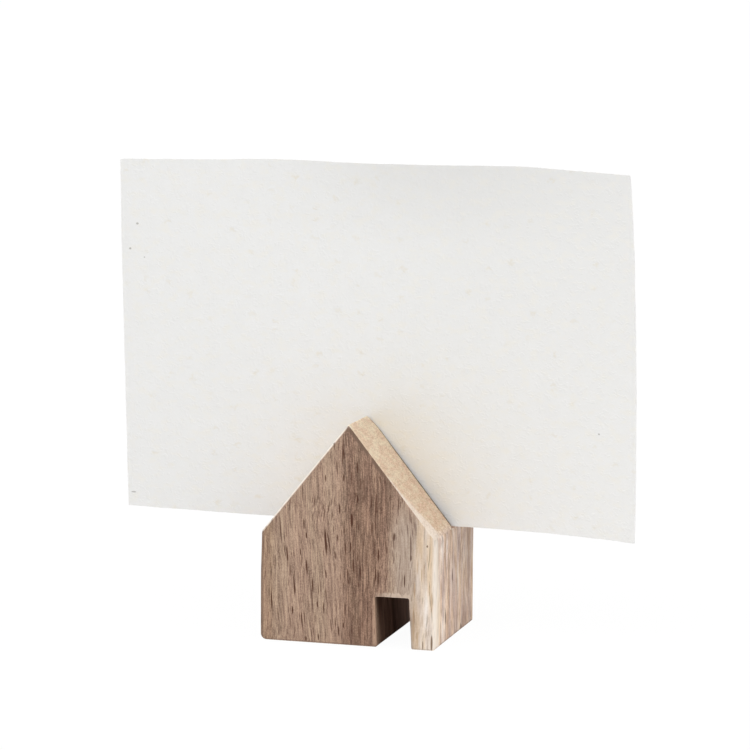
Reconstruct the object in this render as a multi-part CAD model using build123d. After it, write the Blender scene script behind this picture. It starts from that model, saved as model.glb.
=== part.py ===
from build123d import *
from math import atan2, degrees, radians, sin
import os

# Place card holder: a small house cut from one block of hardwood, with a saw
# slot across its roof, and a sheet of thick handmade paper leaning in the slot.
# Millimetres. The origin is the centre of the house's base, +Z is up, the front
# gable faces -Y and the slot runs along X.

# House block
house_width = 40.0
house_depth = 35.0
eave_height = 24.6
ridge_height = 49.3
arris_round = 0.5  # sanded outer edges
ridge_round = 0.7  # the ridge is sanded a little more

# Doorway, cut through from the front gable to the back
door_width = 8.0
door_height = 11.1
door_post_width = 5.6  # wall left standing on the door's right
door_arris_round = 0.35

# Card slot, open at both ends
slot_width = 2.4
slot_floor_above_eaves = 0.3

# Paper card
card_width = 121.0
card_height = 82.0
card_thickness = 0.5
card_shift = 2.0  # card's middle, to the right of the house's middle
card_top_bow = 0.6  # the top edge rises this much in its middle
card_side_bow = 0.7  # the right edge swells this much in its middle
card_wall_gap = 0.1  # room left where the card leans on the slot's two walls
curl_radius = 132.0  # the right wing curls forward at this radius
curl_start_gap = 1.0  # flat paper past the house's right wall before the curl starts

match_tolerance = 1e-3  # for finding edges by where they lie

slot_floor_height = eave_height + slot_floor_above_eaves
slot_depth = ridge_height - slot_floor_height

# The card's foot stands at the slot's rear wall and its face leans on the mouth
# of the front wall, at the ridge.
card_play = slot_width - card_thickness - 2 * card_wall_gap
card_lean = degrees(atan2(card_play, slot_depth))
card_foot_y = slot_width / 2 - card_wall_gap - card_thickness / 2


def make_house_block():
    half_width = house_width / 2
    gable = make_face(
        Polyline(
            (-half_width, 0),
            (half_width, 0),
            (half_width, eave_height),
            (0, ridge_height),
            (-half_width, eave_height),
            close=True,
        )
    )
    ridge_point = gable.vertices().sort_by(Axis.Y)[-1]
    gable = fillet(ridge_point, ridge_round)
    block = extrude(Plane.XZ * gable, amount=house_depth / 2, both=True)

    door_right = half_width - door_post_width
    door_middle = door_right - door_width / 2
    doorway = Pos(door_middle, 0, 0) * Box(door_width, 2 * house_depth, 2 * door_height)

    # The outer edges are sanded before the doorway and the slot are cut.
    block = fillet(outer_edges(block), arris_round)
    block -= doorway
    block = fillet(doorway_edges(block, door_middle), door_arris_round)

    slot_top = ridge_height + slot_depth
    slot = Box(
        2 * house_width,
        slot_width,
        slot_top - slot_floor_height,
        align=(Align.CENTER, Align.CENTER, Align.MIN),
    )
    return block - Pos(0, 0, slot_floor_height) * slot


def outer_edges(block):
    # Every edge except the two seams where the rounded ridge meets the slopes.
    def is_ridge_seam(edge):
        return edge.center().Z > eave_height and edge.length > house_depth - match_tolerance

    return [edge for edge in block.edges() if not is_ridge_seam(edge)]


def doorway_edges(block, door_middle):
    # The edges round the doorway on the front and back faces.
    def rings_doorway(edge):
        middle = edge.center()
        across = abs(middle.X - door_middle) < door_width / 2 + match_tolerance
        low = middle.Z < door_height + match_tolerance
        on_face = abs(abs(middle.Y) - house_depth / 2) < match_tolerance
        return across and low and on_face

    return block.edges().filter_by(rings_doorway)


def make_place_card():
    half_thickness = card_thickness / 2
    left_end = card_shift - card_width / 2
    curl_start = house_width / 2 + curl_start_gap
    curl_length = card_shift + card_width / 2 - curl_start
    curl_angle = degrees(curl_length / curl_radius)

    # Plan of the sheet, seen from above: flat, then curling forward on the right.
    front_arc = JernArc((curl_start, -half_thickness), (1, 0), curl_radius - half_thickness, -curl_angle)
    rear_arc = JernArc((curl_start, half_thickness), (1, 0), curl_radius + half_thickness, -curl_angle)
    plan = make_face(
        [
            Line((left_end, -half_thickness), front_arc @ 0),
            front_arc,
            Line(front_arc @ 1, rear_arc @ 1),
            rear_arc,
            Line(rear_arc @ 0, (left_end, half_thickness)),
            Line((left_end, half_thickness), (left_end, -half_thickness)),
        ]
    )
    right_end = max((front_arc @ 1).X, (rear_arc @ 1).X)
    sheet = extrude(plan, amount=card_height)

    # Outline seen from the front: the top and right edges are cut slightly bowed.
    low_top = card_height - card_top_bow
    slim_right = right_end - card_side_bow
    middle_x = (left_end + slim_right) / 2
    outline = make_face(
        [
            Line((left_end, 0), (slim_right, 0)),
            ThreePointArc((slim_right, 0), (right_end, low_top / 2), (slim_right, low_top)),
            ThreePointArc((slim_right, low_top), (middle_x, card_height), (left_end, low_top)),
            Line((left_end, low_top), (left_end, 0)),
        ]
    )
    cutter = extrude(Plane.XZ * outline, amount=card_width, both=True)
    card = sheet & cutter

    # Leaning forward lowers the front edge of the foot, which rests on the slot's floor.
    foot_height = slot_floor_height + half_thickness * sin(radians(card_lean))
    return Pos(0, card_foot_y, foot_height) * Rot(card_lean, 0, 0) * card


os.makedirs("parts", exist_ok=True)
pieces = {
    "house_block": make_house_block(),
    "place_card": make_place_card(),
}
for name, piece in pieces.items():
    export_step(piece, f"parts/{name}.step")
    print(name, "volume", round(piece.volume, 2), "mm3")
print("card leans", round(card_lean, 2), "degrees")
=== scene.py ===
from math import cos, exp, radians, sin

import bmesh
import bpy
from mathutils import Matrix, Vector, noise


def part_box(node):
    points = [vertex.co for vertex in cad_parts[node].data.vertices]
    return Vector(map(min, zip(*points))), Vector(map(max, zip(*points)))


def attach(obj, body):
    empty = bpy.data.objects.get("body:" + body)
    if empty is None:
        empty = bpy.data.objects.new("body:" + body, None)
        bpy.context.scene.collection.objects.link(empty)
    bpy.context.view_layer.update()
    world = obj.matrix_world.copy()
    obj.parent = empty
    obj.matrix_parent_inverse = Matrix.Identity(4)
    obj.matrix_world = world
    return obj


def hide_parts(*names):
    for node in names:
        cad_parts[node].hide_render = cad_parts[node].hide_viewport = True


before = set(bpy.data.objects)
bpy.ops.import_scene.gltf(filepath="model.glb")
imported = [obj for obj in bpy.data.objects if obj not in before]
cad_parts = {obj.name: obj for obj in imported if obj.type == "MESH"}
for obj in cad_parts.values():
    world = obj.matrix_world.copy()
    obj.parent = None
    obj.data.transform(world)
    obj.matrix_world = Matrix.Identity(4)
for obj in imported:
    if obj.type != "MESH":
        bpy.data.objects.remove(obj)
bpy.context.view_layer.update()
print("frame loaded:", sorted(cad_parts))

scene = bpy.context.scene
scene.view_settings.view_transform = "Standard"
toMillimetres = 1000.0  # patterns in the wood and the paper are written in millimetres


def smoothStep(value, start, end):
    share = min(max((value - start) / (end - start), 0.0), 1.0)
    return share * share * (3.0 - 2.0 * share)


def linkObject(name, data):
    made = bpy.data.objects.new(name, data)
    scene.collection.objects.link(made)
    return made


def objectFromShape(name, shape, materials=()):
    mesh = bpy.data.meshes.new(name)
    shape.to_mesh(mesh)
    shape.free()
    for material in materials:
        mesh.materials.append(material)
    return linkObject(name, mesh)


# Camera, at the photograph's viewing angle

photoCamera = {
    "lens": 150.0,  # millimetres
    "sensorWidth": 36.0,
    "aim": (-0.00116, 0.00756, 0.05759),  # the point in the picture's middle
    "distance": 0.714,
    "turn": 16.01,  # degrees to the right of the front
    "tilt": 7.50,  # degrees looking down
    "roll": 0.42,
    "clip": (0.01, 100.0),
}


def addCamera():
    data = bpy.data.cameras.new("photoCamera")
    data.lens = photoCamera["lens"]
    data.sensor_width = photoCamera["sensorWidth"]
    data.clip_start, data.clip_end = photoCamera["clip"]
    camera = linkObject("photoCamera", data)
    turn = Matrix.Rotation(radians(photoCamera["turn"]), 4, "Z")
    tilt = Matrix.Rotation(radians(90.0 - photoCamera["tilt"]), 4, "X")
    roll = Matrix.Rotation(radians(photoCamera["roll"]), 4, "Z")
    facing = turn @ tilt @ roll
    backward = facing.to_3x3() @ Vector((0.0, 0.0, 1.0))
    place = Vector(photoCamera["aim"]) + backward * photoCamera["distance"]
    camera.matrix_world = Matrix.Translation(place) @ facing
    scene.camera = camera


addCamera()
print("camera set")


# Node helpers

def addNode(tree, kind, inputs=None, **settings):
    made = tree.nodes.new(kind)
    for name, value in settings.items():
        setattr(made, name, value)
    for name, value in (inputs or {}).items():
        if isinstance(value, bpy.types.NodeSocket):
            tree.links.new(value, made.inputs[name])
        else:
            made.inputs[name].default_value = value
    return made


def calc(tree, operation, first, second=0.0):
    return addNode(tree, "ShaderNodeMath", {0: first, 1: second}, operation=operation).outputs[0]


def plus(tree, first, second):
    return calc(tree, "ADD", first, second)


def minus(tree, first, second):
    return calc(tree, "SUBTRACT", first, second)


def absolute(tree, value):
    return calc(tree, "ABSOLUTE", value)


def product(tree, first, *others):
    for other in others:
        first = calc(tree, "MULTIPLY", first, other)
    return first


def weighted(tree, parts):
    total, *others = [product(tree, value, share) for value, share in parts]
    for other in others:
        total = plus(tree, total, other)
    return total


def largest(tree, masks):
    total, *others = masks
    for other in others:
        total = calc(tree, "MAXIMUM", total, other)
    return total


def fadeBetween(tree, value, start, end, low=0.0, high=1.0):
    inputs = {"Value": value, "From Min": start, "From Max": end, "To Min": low, "To Max": high}
    return addNode(tree, "ShaderNodeMapRange", inputs, interpolation_type="SMOOTHSTEP").outputs["Result"]


def vectorCalc(tree, operation, first, second):
    return addNode(tree, "ShaderNodeVectorMath", {0: first, 1: second}, operation=operation).outputs[0]


def stretched(tree, vector, factors):
    return vectorCalc(tree, "MULTIPLY", vector, factors)


def millimetres(tree, position):
    return stretched(tree, position, (toMillimetres, toMillimetres, toMillimetres))


def apartXYZ(tree, vector):
    return addNode(tree, "ShaderNodeSeparateXYZ", {0: vector}).outputs


def joinXYZ(tree, **parts):
    return addNode(tree, "ShaderNodeCombineXYZ", parts).outputs[0]


def apartColour(tree, colour):
    return addNode(tree, "ShaderNodeSeparateColor", {"Color": colour}).outputs


def opaque(colour):
    return (*colour, 1.0) if isinstance(colour, tuple) else colour


def mixColour(tree, share, first, second, mode="MIX"):
    inputs = {0: share, 6: opaque(first), 7: opaque(second)}  # 6 and 7 are the colour sockets
    return addNode(tree, "ShaderNodeMix", inputs, data_type="RGBA", blend_type=mode).outputs[2]


def tinted(tree, colour, tint, share=1.0):
    return mixColour(tree, share, colour, tint, "MULTIPLY")


def covered(tree, colour, mask, strength, cover):
    return mixColour(tree, product(tree, mask, strength), colour, cover)


def rampColour(tree, value, stops):
    made = addNode(tree, "ShaderNodeValToRGB", {"Fac": value})
    marks = made.color_ramp.elements
    while len(marks) < len(stops):
        marks.new(0.5)
    for mark, (place, colour) in zip(marks, stops):
        mark.position = place
        mark.color = opaque(colour)
    return made.outputs["Color"]


def scaledNoise(tree, spot, repeats, detail, roughness, output="Fac"):
    place = stretched(tree, spot, repeats)
    inputs = {"Vector": place, "Scale": 1.0, "Detail": detail, "Roughness": roughness}
    return addNode(tree, "ShaderNodeTexNoise", inputs).outputs[output]


def scaledCells(tree, spot, repeats):
    inputs = {"Vector": stretched(tree, spot, repeats), "Scale": 1.0}
    return addNode(tree, "ShaderNodeTexVoronoi", inputs, voronoi_dimensions="2D").outputs


def ovalMark(tree, spot, middle, halves):
    offset = vectorCalc(tree, "SUBTRACT", spot, middle)
    offset = stretched(tree, offset, tuple(1.0 / half for half in halves))
    away = addNode(tree, "ShaderNodeVectorMath", {0: offset}, operation="LENGTH").outputs["Value"]
    return fadeBetween(tree, away, 1.15, 0.65)


def newGroup(name, values, outputs):
    # every group takes a position and some values of its own, and gives values
    group = bpy.data.node_groups.new(name, "ShaderNodeTree")
    group.interface.new_socket("Position", in_out="INPUT", socket_type="NodeSocketVector")
    for socketName in values:
        group.interface.new_socket(socketName, in_out="INPUT", socket_type="NodeSocketFloat")
    for socketName in outputs:
        group.interface.new_socket(socketName, in_out="OUTPUT", socket_type="NodeSocketFloat")
    take = group.nodes.new("NodeGroupInput").outputs
    give = group.nodes.new("NodeGroupOutput").inputs
    return group, take, give


def putOut(group, give, values):
    for name, value in values.items():
        group.links.new(value, give[name])


def useGroup(tree, group, inputs):
    return addNode(tree, "ShaderNodeGroup", inputs, node_tree=group).outputs


def newMaterial(name):
    material = bpy.data.materials.new(name)
    material.use_nodes = True
    tree = material.node_tree
    return material, tree, tree.nodes["Principled BSDF"]


def objectPosition(tree):
    return addNode(tree, "ShaderNodeTexCoord").outputs["Object"]


def finishSurface(tree, shader, colour, roughness, gloss, bumpInputs):
    tree.links.new(colour, shader.inputs["Base Color"])
    tree.links.new(roughness, shader.inputs["Roughness"])
    shader.inputs["Specular IOR Level"].default_value = gloss
    bump = addNode(tree, "ShaderNodeBump", bumpInputs)
    tree.links.new(bump.outputs["Normal"], shader.inputs["Normal"])


# House block: the little house, cut from one block of hardwood

houseBlock = {
    "eaveHeight": 0.0248,
    "ridgeHeight": 0.0497,  # where the slopes would meet before sanding
    "doorWidth": 0.0080,
    "doorHeight": 0.01135,
    "doorPost": 0.0056,  # wood left on the door's right
    "doorCorner": 0.0004,  # radius of the two corners at the door's head
    "doorCornerSteps": 4,
    "footRadius": 0.0013,  # the base's left edge is worn round
    "footSteps": 5,
    "slotWidth": 0.0024,
    "slotFloor": 0.0249,
    "sanding": {  # how far each kind of edge is sanded back
        "outer": 0.0004,
        "leftCorner": 0.00015,  # front upright edges
        "rightCorner": 0.0008,
        "leftVerge": 0.00025,  # roof's front edges
        "rightVerge": 0.0004,
        "ridge": 0.00025,
        "leftEave": 0.0005,
        "rightEave": 0.0012,
        "base": 0.00015,
        "jamb": 0.0005,  # door's left front edge
        "door": 0.00035,
    },
    "sandingSteps": 4,
    "gridStep": 0.0012,  # cuts that let the flat faces wander
    "doorCuts": 24,  # finer cuts across the door
    "cutSnap": 0.00004,  # a point this near to a cut counts as on it
    "wander": 0.00005,
    "wanderLength": 0.011,
    "wanderSeed": 5,  # without it each run would wander in its own way
    "slotClear": 0.002,  # the wander fades out over this stretch beside the slot
    "ridgeWear": 0.0005,  # the ridge is rubbed down beside the slot
    "ridgeWearReach": (0.0016, 0.003),  # away from the slot, and down from the ridge
    "leftBow": 0.00028,  # the left wall swells a little towards its foot
    "leftBowHeights": (0.014, 0.027),  # where the swelling starts to fade, and where it ends
    "leftBowStart": 0.7,  # share of the half width at which it begins
    "rightJambLean": (0.00037, -0.00025),  # the door's sides, at the foot and at the head
    "leftJambLean": (0.00045, -0.00010),
    "jambReach": (0.0003, 0.0026),  # how far the lean carries beside the door's sides
    "jambFade": 0.002,  # and above its head
    "tornRows": 5,  # fine cuts over the door's head, where fibres tore out
    "tornHeight": 0.0016,
    "tornBelow": -0.3,  # share of that height, below the head
    "tornDepth": 0.00040,
    "tornLeft": (0.0006, 0.0028),  # from the door's left side, where the tearing begins and is full
    "tornRight": 0.0004,  # how softly it ends at the door's right side
    "tornInward": 0.0006,  # how far behind the front it reaches
    "tornGrain": (0.0011, 0.0016),  # its raggedness, across and upward
    "cutMargin": 0.0001,  # a face this near to a saw cut still belongs to it
    "endGrainTilt": 0.35,  # faces that look further up or down than this show end grain
}
houseLow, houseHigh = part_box("house_block")
halfWidth = (houseHigh.x - houseLow.x) / 2
halfDepth = (houseHigh.y - houseLow.y) / 2
doorRight = halfWidth - houseBlock["doorPost"]
doorLeft = doorRight - houseBlock["doorWidth"]
slotHalf = houseBlock["slotWidth"] / 2
longGrain, endGrain, sawCut = range(3)  # the house's materials, in this order
tiny = 1e-6


def quarterTurn(steps):
    return [radians(90.0 * step / steps) for step in range(steps + 1)]


def doorOutline():
    # from the left foot over the head to the right foot
    radius = houseBlock["doorCorner"]
    head = houseBlock["doorHeight"]
    turns = quarterTurn(houseBlock["doorCornerSteps"])
    left = [(doorLeft + radius * (1 - cos(turn)), head - radius * (1 - sin(turn))) for turn in turns]
    right = [(doorLeft + doorRight - x, z) for x, z in reversed(left)]
    return [(doorLeft, 0.0), *left, *right, (doorRight, 0.0)]


def footOutline():
    radius = houseBlock["footRadius"]
    turns = quarterTurn(houseBlock["footSteps"])
    return [(radius * (1 - cos(turn)) - halfWidth, radius * (1 - sin(turn))) for turn in turns]


def sharpHouse():
    eave, ridge = houseBlock["eaveHeight"], houseBlock["ridgeHeight"]
    roof = [(halfWidth, eave), (0.0, ridge), (-halfWidth, eave)]
    outline = [*footOutline(), *doorOutline(), (halfWidth, 0.0), *roof]
    shape = bmesh.new()
    front, back = ([shape.verts.new((x, y, z)) for x, z in outline] for y in (-halfDepth, halfDepth))
    for here in range(len(outline)):
        after = (here + 1) % len(outline)
        shape.faces.new((front[here], front[after], back[after], back[here]))
    shape.faces.new(front)
    shape.faces.new(back)
    bmesh.ops.recalc_face_normals(shape, faces=shape.faces)
    return shape


def slotCutter():
    low = Vector((-2.0 * halfWidth, -slotHalf, houseBlock["slotFloor"]))
    high = Vector((2.0 * halfWidth, slotHalf, 2.0 * houseBlock["ridgeHeight"]))
    size = Matrix.Diagonal((*(high - low), 1.0))
    shape = bmesh.new()
    bmesh.ops.create_cube(shape, size=1.0, matrix=Matrix.Translation((low + high) / 2) @ size)
    return objectFromShape("slotCutter", shape)


def edgeKind(edge):
    # which of the block's edges this is, or None where it isn't sanded
    first, second = (corner.co for corner in edge.verts)
    middle = (first + second) / 2
    upright = abs(first.x - second.x) < tiny and abs(first.y - second.y) < tiny
    alongY = abs(first.x - second.x) < tiny and abs(first.z - second.z) < tiny
    onFront = middle.y < tiny - halfDepth
    if doorLeft - tiny < middle.x < doorRight + tiny and middle.z < houseBlock["doorHeight"] + tiny:
        if alongY and middle.z > tiny:
            return None
        return "jamb" if onFront and upright and middle.x < doorLeft + tiny else "door"
    if alongY and middle.z > houseBlock["eaveHeight"] + tiny:
        return "ridge"
    if alongY and middle.z > houseBlock["eaveHeight"] - tiny:
        return "rightEave" if middle.x > 0.0 else "leftEave"
    if alongY:
        return "base" if middle.x > 0.0 else None
    if not onFront:
        return "outer"
    if upright:
        return "rightCorner" if middle.x > 0.0 else "leftCorner"
    if middle.z > houseBlock["eaveHeight"]:
        return "rightVerge" if middle.x > 0.0 else "leftVerge"
    return "base"


def edgeSanding(edge):
    kind = edgeKind(edge)
    return houseBlock["sanding"][kind] if kind else 0.0


def sandedHouse(shape):
    widest = max(houseBlock["sanding"].values())
    weights = shape.edges.layers.float.new("bevel_weight_edge")
    for edge in shape.edges:
        edge[weights] = edgeSanding(edge) / widest
    block = objectFromShape("houseSharp", shape)
    sanding = block.modifiers.new("sanding", "BEVEL")
    sanding.width = widest
    sanding.segments = houseBlock["sandingSteps"]
    sanding.limit_method = "WEIGHT"
    sanding.use_clamp_overlap = False
    cutter = slotCutter()
    sawing = block.modifiers.new("sawing", "BOOLEAN")
    sawing.operation = "DIFFERENCE"
    sawing.solver = "EXACT"
    sawing.object = cutter
    ready = block.evaluated_get(bpy.context.evaluated_depsgraph_get())
    rounded = bpy.data.meshes.new_from_object(ready)
    bpy.data.objects.remove(block)
    bpy.data.objects.remove(cutter)
    return rounded


def gridStops(low, high, extra=()):
    count = round((high - low) / houseBlock["gridStep"])
    even = [low + (high - low) * step / count for step in range(1, count)]
    return sorted([*even, *extra])


def cutIntoGrid(shape):
    width, doorCuts = houseBlock["doorWidth"], houseBlock["doorCuts"]
    head, torn, rows = (houseBlock[name] for name in ("doorHeight", "tornHeight", "tornRows"))
    doorStops = [doorLeft + width * step / doorCuts for step in range(1, doorCuts)]
    tornStops = [head + torn * row / rows for row in range(1, rows + 1)]
    cuts = (
        (Vector((1.0, 0.0, 0.0)), gridStops(-halfWidth, halfWidth, doorStops)),
        (Vector((0.0, 1.0, 0.0)), gridStops(-halfDepth, halfDepth)),
        (Vector((0.0, 0.0, 1.0)), gridStops(0.0, houseBlock["ridgeHeight"], tornStops)),
    )
    snap = houseBlock["cutSnap"]
    for axis, stops in cuts:
        for stop in stops:
            parts = shape.verts[:] + shape.edges[:] + shape.faces[:]
            bmesh.ops.bisect_plane(shape, geom=parts, dist=snap, plane_co=axis * stop, plane_no=axis)


def jambShift(spot, side, lean):
    # the saw left the door's sides a little out of upright
    head = houseBlock["doorHeight"]
    atFoot, atHead = lean
    near = 1.0 - smoothStep(abs(spot.x - side), *houseBlock["jambReach"])
    low = 1.0 - smoothStep(spot.z, head, head + houseBlock["jambFade"])
    return (atFoot + (atHead - atFoot) * spot.z / head) * near * low


def tornOut(spot):
    # how deep the fibres are torn out over the door's head
    above = (spot.z - houseBlock["doorHeight"]) / houseBlock["tornHeight"]
    if spot.y > houseBlock["tornInward"] - halfDepth or not houseBlock["tornBelow"] < above < 1.0:
        return 0.0
    begin, full = houseBlock["tornLeft"]
    soft = houseBlock["tornRight"]
    inside = smoothStep(spot.x, doorLeft + begin, doorLeft + full)
    inside *= 1.0 - smoothStep(spot.x, doorRight - soft, doorRight + soft)
    across, upward = houseBlock["tornGrain"]
    ragged = 0.5 + 0.5 * noise.noise(Vector((spot.x / across, 3.0, spot.z / upward)))
    return houseBlock["tornDepth"] * inside * ragged * (1.0 - max(above, 0.0))


def roughenHouse(shape):
    noise.seed_set(houseBlock["wanderSeed"])
    ridge = houseBlock["ridgeHeight"]
    wearAside, wearDown = houseBlock["ridgeWearReach"]
    for corner in shape.verts:
        spot = corner.co.copy()
        clear = smoothStep(abs(spot.y), slotHalf, slotHalf + houseBlock["slotClear"])
        shift = noise.noise_vector(spot / houseBlock["wanderLength"]) * houseBlock["wander"] * clear
        shift.x += jambShift(spot, doorRight, houseBlock["rightJambLean"])
        shift.x += jambShift(spot, doorLeft, houseBlock["leftJambLean"])
        low = 1.0 - smoothStep(spot.z, *houseBlock["leftBowHeights"])
        leftward = smoothStep(-spot.x, houseBlock["leftBowStart"] * halfWidth, halfWidth)
        shift.x -= houseBlock["leftBow"] * low * leftward
        shift.y += tornOut(spot)
        worn = smoothStep(spot.z, ridge - wearDown, ridge)
        worn *= 1.0 - smoothStep(abs(spot.y), slotHalf, slotHalf + wearAside)
        shift.z -= houseBlock["ridgeWear"] * worn
        corner.co = spot + shift
        corner.co.z = max(corner.co.z, 0.0)


def houseMaterialIndex(middle, facing):
    margin = houseBlock["cutMargin"]
    acrossDoor = doorLeft - margin < middle.x < doorRight + margin
    inDoorway = acrossDoor and middle.z < houseBlock["doorHeight"] + margin
    inSlot = abs(middle.y) < slotHalf + margin / 2 and middle.z > houseBlock["slotFloor"] - margin
    if inSlot or inDoorway and abs(middle.y) < halfDepth - houseBlock["sanding"]["door"]:
        return sawCut
    if abs(facing.z) > houseBlock["endGrainTilt"] and not inDoorway:
        return endGrain
    return longGrain


def buildHouse(materials):
    shape = bmesh.new()
    shape.from_mesh(sandedHouse(sharpHouse()))
    cutIntoGrid(shape)
    shape.normal_update()
    for face in shape.faces:
        face.material_index = houseMaterialIndex(face.calc_center_median(), face.normal)
        face.smooth = True
    roughenHouse(shape)
    house = objectFromShape("woodenHouse", shape, materials)
    even = house.modifiers.new("flatFaces", "WEIGHTED_NORMAL")
    even.weight = 100
    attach(house, "house")
    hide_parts("house_block")
    print("house block built:", len(house.data.polygons), "faces")


# Acacia: brown heartwood, a cream sapwood corner at the front right, upright grain

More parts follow.
